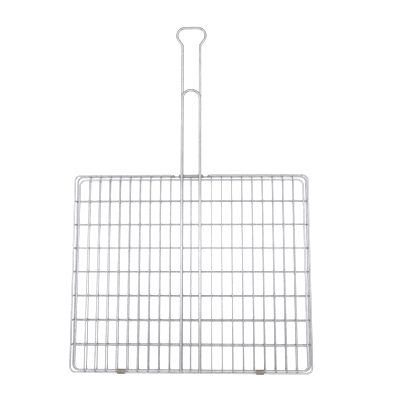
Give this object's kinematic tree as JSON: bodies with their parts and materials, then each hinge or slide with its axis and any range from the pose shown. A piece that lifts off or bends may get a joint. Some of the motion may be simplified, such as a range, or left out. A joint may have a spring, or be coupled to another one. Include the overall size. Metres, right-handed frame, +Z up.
{
  "type": "grill basket",
  "caption": "Flat hinged grill basket of plated steel wire: a shallow tray with a long looped handle and a nesting lid with a short looped handle.",
  "frame": {"origin": "middle of the tray frame's footprint, on the surface it lies on", "axes": "+X across, +Y from the hinge to the handles, +Z up"},
  "size_m": [0.5, 0.7496, 0.0318],
  "materials": {
    "plated_steel": "bright plated steel wire"
  },
  "bodies": {
    "tray": {"tray_frame": "plated_steel", "tray_rail": "plated_steel", "tray_handle": "plated_steel", "handle_strap": "plated_steel", "tray_cross_wire_1": "plated_steel", "tray_cross_wire_2": "plated_steel", "tray_cross_wire_3": "plated_steel", "tray_cross_wire_4": "plated_steel", "tray_cross_wire_5": "plated_steel", "tray_cross_wire_6": "plated_steel", "tray_cross_wire_7": "plated_steel", "tray_long_wire_01": "plated_steel", "tray_long_wire_02": "plated_steel", "tray_long_wire_03": "plated_steel", "tray_long_wire_04": "plated_steel", "tray_long_wire_05": "plated_steel", "tray_long_wire_06": "plated_steel", "tray_long_wire_07": "plated_steel", "tray_long_wire_08": "plated_steel", "tray_long_wire_09": "plated_steel", "tray_long_wire_10": "plated_steel", "tray_long_wire_11": "plated_steel", "tray_long_wire_12": "plated_steel", "tray_long_wire_13": "plated_steel", "tray_long_wire_14": "plated_steel", "tray_long_wire_15": "plated_steel", "tray_long_wire_16": "plated_steel", "tray_long_wire_17": "plated_steel", "tray_long_wire_18": "plated_steel", "tray_long_wire_19": "plated_steel"},
    "lid": {"lid_frame": "plated_steel", "lid_handle": "plated_steel", "hinge_clip_left": "plated_steel", "hinge_clip_right": "plated_steel", "lid_cross_wire_1": "plated_steel", "lid_cross_wire_2": "plated_steel", "lid_cross_wire_3": "plated_steel", "lid_cross_wire_4": "plated_steel", "lid_cross_wire_5": "plated_steel", "lid_cross_wire_6": "plated_steel", "lid_cross_wire_7": "plated_steel", "lid_long_wire_01": "plated_steel", "lid_long_wire_02": "plated_steel", "lid_long_wire_03": "plated_steel", "lid_long_wire_04": "plated_steel", "lid_long_wire_05": "plated_steel", "lid_long_wire_06": "plated_steel", "lid_long_wire_07": "plated_steel", "lid_long_wire_08": "plated_steel", "lid_long_wire_09": "plated_steel", "lid_long_wire_10": "plated_steel", "lid_long_wire_11": "plated_steel", "lid_long_wire_12": "plated_steel", "lid_long_wire_13": "plated_steel", "lid_long_wire_14": "plated_steel", "lid_long_wire_15": "plated_steel", "lid_long_wire_16": "plated_steel", "lid_long_wire_17": "plated_steel", "lid_long_wire_18": "plated_steel", "lid_long_wire_19": "plated_steel"}
  },
  "joints": [
    {"name": "lid_hinge", "type": "hinge", "parent": "tray", "child": "lid", "pos_m": [0, -0.204, 0.024], "axis": [1, 0, 0], "range_deg": [0, 180]}
  ]
}
